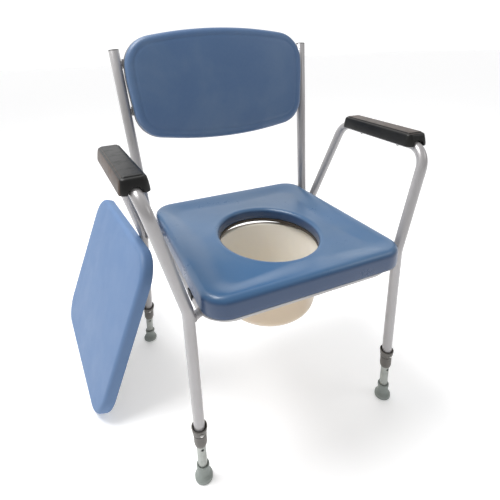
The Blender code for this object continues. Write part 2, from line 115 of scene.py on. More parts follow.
class Surface:  # a material, its shader and the one way to add a node to it
    def __init__(self, name, colour, roughness, metallic=0.0, coat=0.0, coatRoughness=0.1):
        self.material = bpy.data.materials.new(name)
        self.material.use_nodes = True
        self.tree = self.material.node_tree
        self.shader = self.tree.nodes["Principled BSDF"]
        self.set("Base Color", (*colour, 1.0))
        self.set("Roughness", roughness)
        self.set("Metallic", metallic)
        self.set("Coat Weight", coat)
        self.set("Coat Roughness", coatRoughness)

    def add(self, kind, settings=None, values=None, output=0):
        node = self.tree.nodes.new(kind)
        for name, value in (settings or {}).items():
            setattr(node, name, value)
        for name, value in (values or {}).items():
            self.plug(node.inputs[name], value)
        return Wire(self, node.outputs[output])

    def plug(self, socket, value):
        if isinstance(value, Wire):
            self.tree.links.new(value.socket, socket)
        else:
            socket.default_value = value

    def set(self, name, value):
        self.plug(self.shader.inputs[name], value)

    def position(self):
        return self.add("ShaderNodeTexCoord", output="Object")

    def split(self, vector, axis):
        return self.add("ShaderNodeSeparateXYZ", {}, {0: vector}, axis)

    def noise(self, scale, detail=2.0, roughness=0.5, vector=None, distortion=0.0):
        return self.add(
            "ShaderNodeTexNoise",
            {"noise_dimensions": "3D"},
            {
                "Vector": vector or self.position(),
                "Scale": scale,
                "Detail": detail,
                "Roughness": roughness,
                "Distortion": distortion,
            },
        )

    def cells(self, scale, feature="F1", vector=None):
        values = {"Vector": vector or self.position(), "Scale": scale}
        return self.add("ShaderNodeTexVoronoi", {"feature": feature}, values)

    def stretched(self, x, y, z):
        settings = {"operation": "MULTIPLY"}
        return self.add("ShaderNodeVectorMath", settings, {0: self.position(), 1: (x, y, z)})

    def mix(self, amount, first, second):
        first = first if isinstance(first, Wire) else (*first, 1.0)
        second = second if isinstance(second, Wire) else (*second, 1.0)
        values = {"Factor": amount, 6: first, 7: second}
        return self.add("ShaderNodeMix", {"data_type": "RGBA"}, values, 2)

    def bump(self, height, strength, distance):
        values = {"Height": height, "Strength": strength, "Distance": distance}
        self.set("Normal", self.add("ShaderNodeBump", {}, values))


vinyl = {
    "seatColour": (0.038, 0.112, 0.235),
    "seatShade": (0.060, 0.128, 0.232),
    # painted shade: the deeper navy painted on the seat's upright side faces
    "seatSide": (0.016, 0.052, 0.135),
    "backColour": (0.060, 0.122, 0.245),
    "backShade": (0.095, 0.162, 0.275),
    "coverColour": (0.100, 0.185, 0.350),
    "coverShade": (0.118, 0.205, 0.370),
    "grainScale": 620.0,
    "grainDepth": 0.00010,
}


def vinylSurface(name, colour, shade, roughness, grain, coat, paintedSideShade=None):
    made = Surface(name, colour, roughness, coat=coat, coatRoughness=0.28)
    cloudy = made.noise(5.5, 3.0, 0.55, distortion=0.4).smooth(0.35, 0.7)
    flecks = made.noise(150.0, 2.0, 0.6).smooth(0.3, 0.75)
    tone = made.mix(cloudy * 0.75 + flecks * 0.12, colour, shade)
    if paintedSideShade:
        # painted shade: the upright side faces are given a deeper blue than the top, for the weaker light
        # they get
        rising = made.split(made.add("ShaderNodeTexCoord", output="Normal"), 2)
        tone = made.mix(rising.smooth(0.15, 0.75), paintedSideShade, tone)
    made.set("Base Color", tone)
    rubbed = made.noise(11.0, 4.0, 0.6).smooth(0.3, 0.7, -0.05, 0.07)
    pebble = made.cells(vinyl["grainScale"], "SMOOTH_F1")
    fine = made.noise(vinyl["grainScale"] * 1.7, 2.0, 0.6)
    made.set("Roughness", roughness + rubbed + pebble * 0.05)
    made.bump(pebble * 0.7 + fine * 0.4, grain, vinyl["grainDepth"])
    return made.material


paint = {
    "colour": (0.400, 0.388, 0.392),
    "shade": (0.350, 0.338, 0.338),
    "roughness": 0.30,
    "peelScale": 260.0,
    "peelDepth": 0.00005,
}


def paintSurface():
    made = Surface("silver_epoxy", paint["colour"], paint["roughness"], 0.35, 0.35, 0.18)
    cloudy = made.noise(9.0, 3.0, 0.6).smooth(0.35, 0.7)
    flake = made.noise(2600.0, 1.0, 0.5).smooth(0.45, 0.62)
    tone = made.mix(cloudy * 0.6, paint["colour"], paint["shade"])
    made.set("Base Color", made.mix(flake * 0.10, tone, (0.60, 0.59, 0.58)))
    scuffs = made.noise(60.0, 5.0, 0.7, made.stretched(1.0, 1.0, 0.15)).smooth(0.6, 0.8, 0.0, 0.12)
    made.set("Roughness", paint["roughness"] + scuffs + flake * 0.05)
    peel = made.noise(paint["peelScale"], 2.0, 0.5)
    made.bump(peel, 0.35, paint["peelDepth"])
    return made.material


def plasticSurface(name, colour, shade, roughness, grainScale, grainDepth, coat=0.0, mottle=0.6):
    made = Surface(name, colour, roughness, coat=coat, coatRoughness=0.15)
    cloudy = made.noise(24.0, 4.0, 0.6).smooth(0.3, 0.7)
    made.set("Base Color", made.mix(cloudy * mottle, colour, shade))
    worn = made.noise(45.0, 5.0, 0.65).smooth(0.45, 0.75, 0.0, 0.14)
    made.set("Roughness", roughness + worn)
    grain = made.cells(grainScale, "SMOOTH_F1") * 0.6 + made.noise(grainScale * 1.9, 2.0, 0.6) * 0.5
    made.bump(grain, 0.55, grainDepth)
    return made


def zincSurface():
    made = Surface("zinc_tube", (0.40, 0.42, 0.395), 0.42, 0.55, 0.05)
    drawn = made.noise(120.0, 3.0, 0.6, made.stretched(1.0, 1.0, 0.04))
    bloom = made.noise(38.0, 5.0, 0.7).smooth(0.4, 0.7)
    tone = made.mix(bloom * 0.5, (0.40, 0.42, 0.395), (0.30, 0.325, 0.305))
    made.set("Base Color", made.mix(drawn.smooth(0.4, 0.7) * 0.25, tone, (0.52, 0.54, 0.51)))
    made.set("Roughness", 0.34 + bloom * 0.2 + drawn * 0.08)
    made.bump(drawn, 0.3, 0.00004)
    return made.material


def panSurface():
    # tan is painted shade and painted light through the wall, used on the outer wall only
    ivory, aged, tan = (0.80, 0.755, 0.675), (0.74, 0.675, 0.575), (0.60, 0.455, 0.300)
    made = Surface("pan_plastic", ivory, 0.33, coat=0.2, coatRoughness=0.12)
    made.set("Subsurface Weight", 0.12)
    made.set("Subsurface Radius", (0.006, 0.005, 0.003))
    cloudy = made.noise(7.0, 3.0, 0.5).smooth(0.35, 0.7)
    # painted shade: the outer wall is given a warmer, darker tan than the inside, for the shade under the
    # seat and the light through the plastic
    centre = made.add("ShaderNodeVectorMath", {"operation": "SUBTRACT"},
                      {0: made.position(), 1: tuple(at(0, chair["panY"], 0.36))})
    facing = made.add("ShaderNodeTexCoord", output="Normal")
    outwards = made.add("ShaderNodeVectorMath", {"operation": "DOT_PRODUCT"}, {0: centre, 1: facing}, 1)
    outside = outwards.smooth(0.01, 0.05)
    made.set("Base Color", made.mix(outside * 0.8, made.mix(cloudy * 0.35, ivory, aged), tan))
    scratch = made.noise(34.0, 6.0, 0.7, made.stretched(1.0, 1.0, 0.3)).smooth(0.55, 0.75, 0.0, 0.12)
    made.set("Roughness", 0.28 + scratch)
    made.bump(made.noise(220.0, 2.0, 0.5), 0.2, 0.00006)
    return made.material


def steelSurface():
    made = Surface("bright_steel", (0.62, 0.61, 0.59), 0.24, 1.0)
    turned = made.noise(420.0, 3.0, 0.6)
    made.set("Base Color", made.mix(turned.smooth(0.4, 0.7) * 0.4, (0.62, 0.61, 0.59), (0.45, 0.44, 0.43)))
    made.set("Roughness", 0.20 + turned * 0.14)
    made.bump(turned, 0.2, 0.00003)
    return made.material


def padSurface(name, sheenAxis, sheenSign, sheenLevel):
    black, sheenBrown = (0.0055, 0.0055, 0.0058), (0.062, 0.034, 0.020)
    made = plasticSurface(name, black, (0.014, 0.013, 0.012), 0.40, 900.0, 0.00009, 0.06, 0.8)
    made.set("Specular IOR Level", 0.28)
    # painted reflection: a brown sheen is painted on the faces that point along one axis; the dust noise also
    # varies it
    facing = made.split(made.add("ShaderNodeNewGeometry", output="Normal"), sheenAxis) * sheenSign
    dustAndSheen = made.noise(14.0, 3.0, 0.6).smooth(0.3, 0.75)
    paintedSheen = facing.smooth(sheenLevel, sheenLevel + 0.12) * (0.55 + dustAndSheen * 0.45)
    made.set("Base Color", made.mix(paintedSheen, made.mix(dustAndSheen * 0.5, black, (0.016, 0.016, 0.014)), sheenBrown))
    return made.material


frameFinish = paintSurface()
zincFinish = zincSurface()
steelFinish = steelSurface()
panFinish = panSurface()
# the seat gets painted shade on its upright side faces
seatFinish = vinylSurface("seat_vinyl", vinyl["seatColour"], vinyl["seatShade"], 0.30, 0.35, 0.25,
                          vinyl["seatSide"])
backFinish = vinylSurface("back_vinyl", vinyl["backColour"], vinyl["backShade"], 0.42, 0.6, 0.08)
coverFinish = vinylSurface("cover_vinyl", vinyl["coverColour"], vinyl["coverShade"], 0.55, 0.35, 0.0)
clipFinish = plasticSurface("grey_clip_plastic", (0.150, 0.140, 0.127), (0.110, 0.102, 0.093), 0.42,
                            700.0, 0.00008).material
rubberFinish = plasticSurface("ferrule_rubber", (0.285, 0.315, 0.295), (0.235, 0.262, 0.245), 0.55,
                              500.0, 0.00010).material
darkFinish = plasticSurface("dark_plastic", (0.020, 0.020, 0.021), (0.030, 0.029, 0.028), 0.40,
                            800.0, 0.00007).material
boardFinish = plasticSurface("moulded_board", (0.30, 0.305, 0.31), (0.26, 0.262, 0.265), 0.5,
                             420.0, 0.00012).material
seam = plasticSurface("seat_seam", (0.30, 0.33, 0.38), (0.22, 0.25, 0.30), 0.4, 700.0, 0.00005)
# its edge is light round the outside; inside the opening it is painted dark, painted shade for the gap over
# the pan
fromHole = seam.add("ShaderNodeVectorMath", {"operation": "DISTANCE"},
                    {0: seam.position(), 1: tuple(at(0, chair["holeY"], 0.4155))}, 1)
seam.set("Base Color", seam.mix(fromHole.smooth(0.155, 0.175), (0.040, 0.032, 0.026), (0.27, 0.30, 0.35)))
seamFinish = seam.material
# painted reflection: brown sheen on the left pad's outer side and on the right pad's top
leftPadFinish = padSurface("arm_pad_left_plastic", 0, -1.0, 0.72)
rightPadFinish = padSurface("arm_pad_right_plastic", 2, 1.0, 0.90)
print("materials made")


# ---- mesh helpers ----
def filletPath(corners, radii, segments, closed=False):
    corners = [Vector(c) for c in corners]
    count = len(corners)
    points = []
    for i, corner in enumerate(corners):
        if not closed and i in (0, count - 1) or radii[i] == 0:
            points.append(corner)
            continue
        before = (corners[i - 1] - corner).normalized()
        after = (corners[(i + 1) % count] - corner).normalized()
        half = before.angle(after) / 2
        centre = corner + (before + after).normalized() * (radii[i] / math.sin(half))
        reach = radii[i] / math.tan(half)
        start = corner + before * reach - centre
        end = corner + after * reach - centre
        sweep = start.angle(end)
        for k in range(segments + 1):
            t = k / segments
            a = math.sin((1 - t) * sweep) / math.sin(sweep)
            b = math.sin(t * sweep) / math.sin(sweep)
            points.append(centre + start * a + end * b)
    return points


def evenly(points, count, start=0.0):  # equal steps along a closed line
    points = list(points)
    lengths = [(points[(i + 1) % len(points)] - p).length for i, p in enumerate(points)]
    total = sum(lengths)
    made, i, passed = [], 0, 0.0
    for k in range(count):
        target = total * ((k / count + start) % 1.0)
        if target < passed:
            i, passed = 0, 0.0
        while passed + lengths[i] < target:
            passed += lengths[i]
            i += 1
        share = (target - passed) / lengths[i]
        made.append(points[i].lerp(points[(i + 1) % len(points)], share))
    return made


def inward(points, distance):  # a closed flat line moved towards its inside, by its own normals
    count = len(points)
    made = []
    for i, point in enumerate(points):
        tangent = (points[(i + 1) % count] - points[i - 1]).normalized()
        made.append(point + Vector((-tangent.y, tangent.x, 0)) * distance)
    return made


def finishMesh(name, bm, finish, body, nodes=(), angle=40, place=None):
    bmesh.ops.recalc_face_normals(bm, faces=bm.faces)
    mesh = bpy.data.meshes.new(name)
    if place is not None:
        bm.transform(place)
    bm.to_mesh(mesh)
    bm.free()
    mesh.materials.append(finish)
    mesh.shade_smooth()
    mesh.set_sharp_from_angle(angle=math.radians(angle))
    piece = bpy.data.objects.new(name, mesh)
    bpy.context.scene.collection.objects.link(piece)
    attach(piece, body)
    if nodes:
        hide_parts(*nodes)
    return piece


def skin(bm, rings, closeAround=True):
    rows = [[bm.verts.new(p) for p in ring] for ring in rings]
    for first, second in zip(rows, rows[1:]):
        steps = len(first) if closeAround else len(first) - 1
        for i in range(steps):
            j = (i + 1) % len(first)
            bm.faces.new((first[i], first[j], second[j], second[i]))
    return rows


def sweep(name, points, radius, finish, body, nodes=(), sides=28, rounding=0.0008):
    points = [Vector(p) for p in points]
    normal = None
    rings = []
    count = len(points)
    for i, point in enumerate(points):
        before = (point - points[i - 1]).normalized() if i else None
        after = (points[i + 1] - point).normalized() if i < count - 1 else None
        tangent = ((before or after) + (after or before)).normalized()
        if normal is None:
            normal = tangent.orthogonal().normalized()
        normal = (normal - tangent * normal.dot(tangent)).normalized()
        across = tangent.cross(normal)
        places = [(point, radius)]
        if i == 0:
            places = [(point, radius - rounding), (point + tangent * rounding, radius)]
        if i == count - 1:
            places = [(point - tangent * rounding, radius), (point, radius - rounding)]
        for centre, size in places:
            turns = [2 * math.pi * k / sides for k in range(sides)]
            rings.append([centre + (normal * math.cos(a) + across * math.sin(a)) * size for a in turns])
    bm = bmesh.new()
    rows = skin(bm, rings)
    bm.faces.new(rows[0])
    bm.faces.new(list(reversed(rows[-1])))
    return finishMesh(name, bm, finish, body, nodes, 50)


def lathe(name, profile, finish, body, nodes=(), place=None, steps=40, angle=38, shape=None):
    # profile is (radius, height) from one end to the other; a radius of 0 closes it on the axis
    bm = bmesh.new()
    rows = []
    for radius, height in profile:
        if radius <= 1e-7:
            rows.append([bm.verts.new((0, 0, height))])
            continue
        ring = []
        for k in range(steps):
            a = 2 * math.pi * k / steps
            point = Vector((radius * math.cos(a), radius * math.sin(a), height))
            ring.append(bm.verts.new(shape(point, a) if shape else point))
        rows.append(ring)
    if len(rows[0]) > 1 and len(rows[-1]) > 1:
        rows.append(rows[0])
    for first, second in zip(rows, rows[1:]):
        for k in range(steps):
            m = (k + 1) % steps
            corners = [first[k % len(first)], first[m % len(first)],
                       second[m % len(second)], second[k % len(second)]]
            corners = list(dict.fromkeys(corners))
            if len(corners) > 2:
                bm.faces.new(corners)
    return finishMesh(name, bm, finish, body, nodes, angle, place)


def softened(profile, radius, segments=3, closed=False):  # rounds the corners of a lathe profile
    count = len(profile)
    points = [Vector((r, z, 0)) for r, z in profile]
    radii = []
    for i, point in enumerate(points):
        if not closed and i in (0, count - 1):
            radii.append(0)
            continue
        before, after = points[i - 1] - point, points[(i + 1) % count] - point
        bend = before.angle(after)
        if bend > math.radians(165):
            radii.append(0)
            continue
        room = min(before.length, after.length) * 0.45 * math.tan(bend / 2)
        radii.append(min(radius, room))
    return [(max(p.x, 0.0), p.y) for p in filletPath(points, radii, segments, closed)]


def bored(piece, start, end, radius, steps=20):
    start, end = Vector(start), Vector(end)
    span = end - start
    bm = bmesh.new()
    bmesh.ops.create_cone(bm, cap_ends=True, segments=steps, radius1=radius, radius2=radius,
                          depth=span.length)
    turn = Vector((0, 0, 1)).rotation_difference(span).to_matrix().to_4x4()
    bm.transform(Matrix.Translation((start + end) / 2) @ turn)
    mesh = bpy.data.meshes.new(piece.name + "_cutter")
    bm.to_mesh(mesh)
    bm.free()
    return mesh


def cutAway(piece, meshes):  # cuts the meshes out and applies the result
    for mesh in meshes:
        cutter = bpy.data.objects.new(mesh.name, mesh)
        bpy.context.scene.collection.objects.link(cutter)
        step = piece.modifiers.new("cut", "BOOLEAN")
        step.solver = "EXACT"
        step.object = cutter
        bpy.context.view_layer.update()
        graph = bpy.context.evaluated_depsgraph_get()
        made = bpy.data.meshes.new_from_object(piece.evaluated_get(graph))
        piece.modifiers.clear()
        piece.data = made
        bpy.data.objects.remove(cutter, do_unlink=True)
    piece.data.shade_smooth()
    piece.data.set_sharp_from_angle(angle=math.radians(38))


# ---- tube frame ----
def mirrored(point, side):
    return at(side * point[0], point[1], point[2])


def legLine(side, isFront):
    if isFront:
        return at(side * chair["legHalfWidth"], chair["legFrontY"], 0), Vector((0, 0, 1))
    foot = at(side * (chair["rearHalfWidth"] + chair["rearFootOut"]),
              chair["rearBendY"] + chair["rearFootBack"], 0)
    bend = at(side * chair["rearHalfWidth"], chair["rearBendY"], chair["rearBendZ"])
    return foot, (bend - foot).normalized()


def legPlace(side, isFront):
    foot, up = legLine(side, isFront)
    return Matrix.Translation(foot) @ Vector((0, 0, 1)).rotation_difference(up).to_matrix().to_4x4()


def framePath(side, segments=14):
    rearFoot, rearUp = legLine(side, False)
    frontFoot, frontUp = legLine(side, True)
    corners = [
        rearFoot + rearUp * chair["tubeEnd"],
        at(side * chair["rearHalfWidth"], chair["rearBendY"], chair["rearBendZ"]),
        mirrored(chair["armRear"], side),
        mirrored(chair["armFront"], side),
        at(side * chair["legHalfWidth"], chair["legFrontY"], chair["seatBendZ"]),
        frontFoot + frontUp * chair["tubeEnd"],
    ]
    radii = [0, chair["seatBend"], chair["armBend"], chair["armBend"], chair["seatBend"], 0]
    return filletPath(corners, radii, segments)


rail = {"halfWidth": 0.2065, "front": -0.2100, "rear": 0.205, "corner": 0.055, "z": 0.3974}
upright = {"radius": 0.0125, "base": (0.2335, 0.2020, 0.386), "top": (0.2600, 0.2648, 0.857)}


def weldBead(name, centre, direction, radius, finish, thick=0.0012):
    # A low uneven ring where two tubes are welded.
    turn = Vector((0, 0, 1)).rotation_difference(direction).to_matrix().to_4x4()
    place = Matrix.Translation(centre) @ turn
    bm = bmesh.new()
    rings = []
    for k in range(48):
        a = 2 * math.pi * k / 48
        size = thick * (1.0 + 0.14 * math.sin(a * 17))
        middle = Vector((math.cos(a), math.sin(a), 0)) * (radius + thick * 0.2)
        ring = []
        for m in range(10):
            b = 2 * math.pi * m / 10
            out = Vector((math.cos(a), math.sin(a), 0)) * math.cos(b) + Vector((0, 0, math.sin(b)))
            ring.append(middle + out * size)
        rings.append(ring)
    rows = [[bm.verts.new(p) for p in ring] for ring in rings]
    for k, row in enumerate(rows):
        following = rows[(k + 1) % len(rows)]
        for m in range(10):
            n = (m + 1) % 10
            bm.faces.new((row[m], row[n], following[n], following[m]))
    return finishMesh(name, bm, finish, "frame", (), 180, place)


def buttonBore(piece, place):  # the hole that a lock button goes in through
    outer, inner = Vector((0, -0.024, chair["buttonZ"])), Vector((0, -0.006, chair["buttonZ"]))
    return bored(piece, place @ outer, place @ inner, chair["buttonHole"])


for sideName, side in sides.items():
    bentTube = sweep(f"side_frame_tube_{sideName}", framePath(side), chair["tubeRadius"], frameFinish,
                     "frame", (f"side_frame_{sideName}",), 32)
    cutAway(bentTube, [buttonBore(bentTube, legPlace(side, isFront)) for isFront in (True, False)])
    base, top = mirrored(upright["base"], side), mirrored(upright["top"], side)
    sweep(f"upright_tube_{sideName}", [base, top], upright["radius"], frameFinish, "frame",
          (f"upright_{sideName}",), 32)
    axis = (top - base).normalized()
    turn = Matrix.Translation(top) @ Vector((0, 0, 1)).rotation_difference(axis).to_matrix().to_4x4()
    rim, drop = 0.0124, 0.0020
    lathe(f"upright_end_{sideName}",
          softened([(0, 0.0006), (rim - 0.0035, 0.0008), (rim - 0.0022, drop), (rim, drop - 0.0004),
                    (rim, 0.0003), (0, 0.0003)], 0.0006),
          darkFinish, "frame", (f"upright_cap_{sideName}",), turn, 36)

railPath = filletPath(
    (at(rail["halfWidth"], rail["rear"], rail["z"]), at(rail["halfWidth"], rail["front"], rail["z"]),
     at(-rail["halfWidth"], rail["front"], rail["z"]), at(-rail["halfWidth"], rail["rear"], rail["z"])),
    [0, rail["corner"], rail["corner"], 0], 16)
sweep("seat_rail_tube", railPath, chair["tubeRadius"], frameFinish, "frame", ("seat_rail",), 28)

stubEnds = {
    "front": ((0.2065, -0.172, 0.3974), (0.239, -0.1885, 0.3974)),
    "rear": ((0.2025, 0.158, 0.3974), (0.2555, 0.1885, 0.3974)),
}
for sideName, side in sides.items():
    for end, (inner, outer) in stubEnds.items():
        start, stop = mirrored(inner, side), mirrored(outer, side)
        sweep(f"stub_tube_{end}_{sideName}", [start, stop], 0.0085, frameFinish, "frame",
              (f"frame_stub_{end}_{sideName}",), 24)
        run = (stop - start).normalized()
        weldBead(f"stub_weld_{end}_{sideName}", stop - run * 0.0125, run, 0.0087, frameFinish)
    rearPlug = Matrix.Translation(at(side * rail["halfWidth"], rail["rear"], rail["z"]))
    rearPlug = rearPlug @ Matrix.Rotation(-math.pi / 2, 4, "X")
    lathe(f"rail_end_{sideName}",
          softened([(0, 0.0022), (0.0095, 0.0021), (0.0107, 0.0012), (0.0107, 0.0004), (0, 0.0004)],
                   0.0006), darkFinish, "frame", (f"rail_plug_{sideName}",), rearPlug, 28)
    # the upright is welded to the rear bend of the side frame
    joint = at(side * 0.2440, 0.1960, 0.4035)
    weldBead(f"upright_weld_{sideName}", joint, Vector((side * 0.76, -0.6, 0.0)), 0.0052,
             frameFinish, 0.0022)
print("tube frame made")

# ---- backrest ----
back = {
    "z": 0.762,
    "shell": 0.006,
    "thickness": 0.0355,
    "steps": 180,
    "crown": 0.0048,
    "roll": 0.0150,
}
recline = math.atan2(upright["top"][1] - upright["base"][1], upright["top"][2] - upright["base"][2])
backShare = (back["z"] - upright["base"][2]) / (upright["top"][2] - upright["base"][2])
backY = upright["base"][1] + backShare * (upright["top"][1] - upright["base"][1])
backPlace = Matrix.Translation(at(0, backY, back["z"])) @ Matrix.Rotation(math.pi / 2 - recline, 4, "X")


def backLine(grow=0.0):
    corners = (
        (0.2420 + grow, 0.8768 + grow), (0, 0.9150 + grow), (-0.2420 - grow, 0.8768 + grow),
        (-0.2420 - grow, 0.785), (-0.2275 - grow, 0.6485 - grow), (0, 0.6132 - grow),
        (0.2275 + grow, 0.6485 - grow), (0.2420 + grow, 0.785),
    )
    radii = (0.074, 1.06, 0.074, 0.30, 0.070, 0.95, 0.070, 0.30)
    flat = [((x, (z - back["z"]) / math.cos(recline), 0)) for x, z in corners]
    return evenly(filletPath(flat, radii, 24, closed=True), back["steps"])


def paddedDisc(name, line, rows, centre, finish, body, nodes, place, crown):
    # rows are (inset, height) from the back edge to the front face; the face then closes on centre
    bm = bmesh.new()
    rings = []
    for inset, height in rows:
        rings.append([Vector((p.x, p.y, height)) for p in inward(line, inset)])
    last, lastHeight = rings[-1], rows[-1][1]
    for share in (0.04, 0.10, 0.18, 0.28, 0.40, 0.52, 0.64, 0.76, 0.86, 0.94, 0.985):
        lift = lastHeight + crown * (1 - (1 - share) ** 2.6)
        rings.append([Vector((*p.lerp(centre, share).xy, lift)) for p in last])
    rowsMade = skin(bm, rings)
    tip = bm.verts.new((centre.x, centre.y, lastHeight + crown))
    for first, second in zip(rowsMade[-1], rowsMade[-1][1:] + rowsMade[-1][:1]):
        bm.faces.new((first, second, tip))
    bm.faces.new(list(reversed(rowsMade[0])))
    piece = finishMesh(name, bm, finish, body, nodes, 55, place)
    return piece


faceZ = back["shell"] + back["thickness"]
rolled = []
for k in range(9):
    a = math.pi / 2 * k / 8
    rolled.append((0.0002 + back["roll"] * (1 - math.cos(a)),
                   faceZ - back["crown"] - back["roll"] * (1 - math.sin(a)) - 0.0006))
backRows = [(0.0035, back["shell"] + 0.0005), (0.0012, back["shell"] + 0.0010),
            (0.0004, back["shell"] + 0.0030), (0.0, back["shell"] + 0.0070)] + rolled
# a shallow groove runs round inside the rolled edge
edge = rolled[-1]
backRows += [(edge[0] + 0.0020, edge[1] - 0.0001), (edge[0] + 0.0042, edge[1] - 0.0008),
             (edge[0] + 0.0062, edge[1] - 0.0009), (edge[0] + 0.0090, edge[1] + 0.0002),
             (edge[0] + 0.0130, edge[1] + 0.0008)]
paddedDisc("back_pad", backLine(), backRows, Vector((0, 0, 0)), backFinish, "frame",
           ("back_cushion",), backPlace, back["crown"] - 0.0012)

shellRows = [(0.012, 0.0), (0.0022, 0.0), (0.0008, 0.0005), (0.0, 0.0016), (0.0, 0.0044),
             (0.0007, 0.0056), (0.0018, 0.0060), (0.010, 0.0060)]
shellLine = backLine(0.0012)
bm = bmesh.new()
shellRings = [[Vector((p.x, p.y, z)) for p in inward(shellLine, inset)] for inset, z in shellRows]
# a pressed panel stiffens the rear of the shell
panel = [(0.030, 0.0), (0.0325, 0.0007), (0.036, 0.0018), (0.040, 0.0020)]
panelRings = [[Vector((p.x, p.y, z)) for p in inward(shellLine, inset)] for inset, z in reversed(panel)]
made = skin(bm, panelRings + shellRings)
bm.faces.new(made[0])
bm.faces.new(list(reversed(made[-1])))
finishMesh("back_board", bm, boardFinish, "frame", ("back_shell",), 35, backPlace)


def uprightX(z):
    share = (z - upright["base"][2]) / (upright["top"][2] - upright["base"][2])
    return upright["base"][0] + share * (upright["top"][0] - upright["base"][0])


def screwHead(name, place, radius, height, nodes, body="frame"):
    # a domed head with a cross recess
    dome = [(0, height), (radius * 0.35, height * 0.96), (radius * 0.7, height * 0.74),
            (radius * 0.93, height * 0.36), (radius, 0.0), (0, 0.0)]
    head = lathe(name, softened(dome, 0.0003, 2), steelFinish, body, nodes, place, 32)
    meshes = []
    for turn in (0, math.pi / 2):
        bm = bmesh.new()
        bmesh.ops.create_cube(bm, size=1.0)
        bm.transform(place @ Matrix.Translation((0, 0, height)) @ Matrix.Rotation(turn, 4, "Z")
                     @ Matrix.Diagonal((radius * 1.15, radius * 0.24, height * 0.9, 1)))
        mesh = bpy.data.meshes.new(name + "_slot")
        bm.to_mesh(mesh)
        bm.free()
        meshes.append(mesh)
    cutAway(head, meshes)
    return head


for sideName, side in sides.items():
    for level, height in {"upper": 0.826, "lower": 0.712}.items():
        reach = uprightX(height - 0.012) - upright["radius"] - 0.0004
        along = (height - back["z"]) / math.cos(recline)
        x0, x1 = sorted((side * reach, side * (reach - 0.034)))
        corners = ((x0, along - 0.011, 0), (x1, along - 0.011, 0), (x1, along + 0.011, 0),
                   (x0, along + 0.011, 0))
        inner = 0.0100
        free = [0.0005 if abs(c[0]) > reach - 0.001 else inner for c in corners]
        outline = filletPath(corners, free, 8, closed=True)
        bm = bmesh.new()
        low = [Vector((p.x, p.y, -0.0034)) for p in outline]
        rings = [inward(low, 0.0005), [p + Vector((0, 0, 0.0004)) for p in low],
                 [p + Vector((0, 0, 0.0031)) for p in low]]
        made = skin(bm, rings)
        bm.faces.new(list(reversed(made[0])))
        bm.faces.new(made[-1])
        finishMesh(f"back_tab_{level}_{sideName}", bm, frameFinish, "frame",
                   (f"back_bracket_{level}_{sideName}",), 35, backPlace)
        place = backPlace @ Matrix.Translation((side * (reach - 0.022), along, -0.0036))
        screwHead(f"back_tab_screw_{level}_{sideName}", place @ Matrix.Rotation(math.pi, 4, "X"),
                  0.0042, 0.0026, (f"back_screw_{level}_{sideName}",))
        bead = backPlace @ Vector((side * (reach + 0.0008), along, -0.0018))
        weldBead(f"back_tab_weld_{level}_{sideName}", bead, backPlace.to_3x3() @ Vector((side, 0, 0)),
                 0.0050, frameFinish, 0.0014)
print("backrest made")

# ---- seat ----
seat = {
    "bottom": 0.4135,
    "top": 0.4545,
    "corner": 0.050,
    "roll": 0.0145,
    "dish": 0.0085,
    "holeX": 0.1105,
    "holeLong": 0.1325,
    "lip": 0.0095,
    "steps": 240,
}
seatSide, seatFront, seatRear = chair["seatHalfWidth"], chair["seatFront"], chair["seatRear"]
seatCorners = ((seatSide, seatFront, 0), (seatSide, seatRear, 0), (-seatSide, seatRear, 0),
               (-seatSide, seatFront, 0))
seatLine = evenly(filletPath(seatCorners, [seat["corner"]] * 4, 30, closed=True), seat["steps"])


def holePoint(angle, grow):
    return Vector(((seat["holeX"] + grow) * math.cos(angle),
                   chair["holeY"] + (seat["holeLong"] + grow) * math.sin(angle), 0))


holeAngles = []
for p in seatLine:
    holeAngles.append(math.atan2((p.y - chair["holeY"]) / 1.08, p.x))
bm = bmesh.new()
rings = []
top, bottom, roll = seat["top"], seat["bottom"], seat["roll"]
sideRows = [(0.0060, bottom), (0.0022, bottom), (0.0009, bottom + 0.0006), (0.0003, bottom + 0.0020),
            (0.0, bottom + 0.0045), (0.0, bottom + 0.0120)]
for k in range(11):
    a = math.pi / 2 * k / 10
    sideRows.append((roll * 0.92 * (1 - math.cos(a)), top - roll * (1 - math.sin(a))))
for inset, z in sideRows:
    rings.append([Vector((p.x, p.y, z)) for p in inward(seatLine, inset)])
edgeInset = sideRows[-1][0]
crest = inward(seatLine, edgeInset)


def ease(t):
    t = min(max(t, 0.0), 1.0)
    return t * t * (3 - 2 * t)


lipGrow = 0.020
for share in [k / 26 for k in range(1, 27)]:
    ring = []
    for p, a in zip(crest, holeAngles):
        q = holePoint(a, lipGrow)
        point = p.lerp(q, share)
        reach = (point - p).length
        deep = seat["dish"] * ease(reach / 0.060)
        ring.append(Vector((point.x, point.y, top - deep)))
    rings.append(ring)
lowTop = top - seat["dish"]
for grow, z in ((0.0165, lowTop + 0.0001), (0.0130, lowTop + 0.0003)):
    rings.append([Vector((*holePoint(a, grow).xy, z)) for a in holeAngles])
lip = seat["lip"]
for k in range(9):
    a0 = math.pi / 2 * k / 8
    grow, z = lip * (1 - math.sin(a0)) + 0.0004, lowTop + 0.0003 - lip * (1 - math.cos(a0))
    rings.append([Vector((*holePoint(a, grow).xy, z)) for a in holeAngles])
for grow, z in ((0.0002, 0.4290), (0.0002, 0.4211), (0.0012, 0.4197), (0.0035, 0.4193)):
    rings.append([Vector((*holePoint(a, grow).xy, z)) for a in holeAngles])
rows = skin(bm, rings)
for i in range(len(rows[0])):
    j = (i + 1) % len(rows[0])
    bm.faces.new((rows[-1][i], rows[-1][j], rows[0][j], rows[0][i]))
seatPad = finishMesh("seat_pad", bm, seatFinish, "frame", ("seat_cushion",), 55,
                     Matrix.Translation(home))

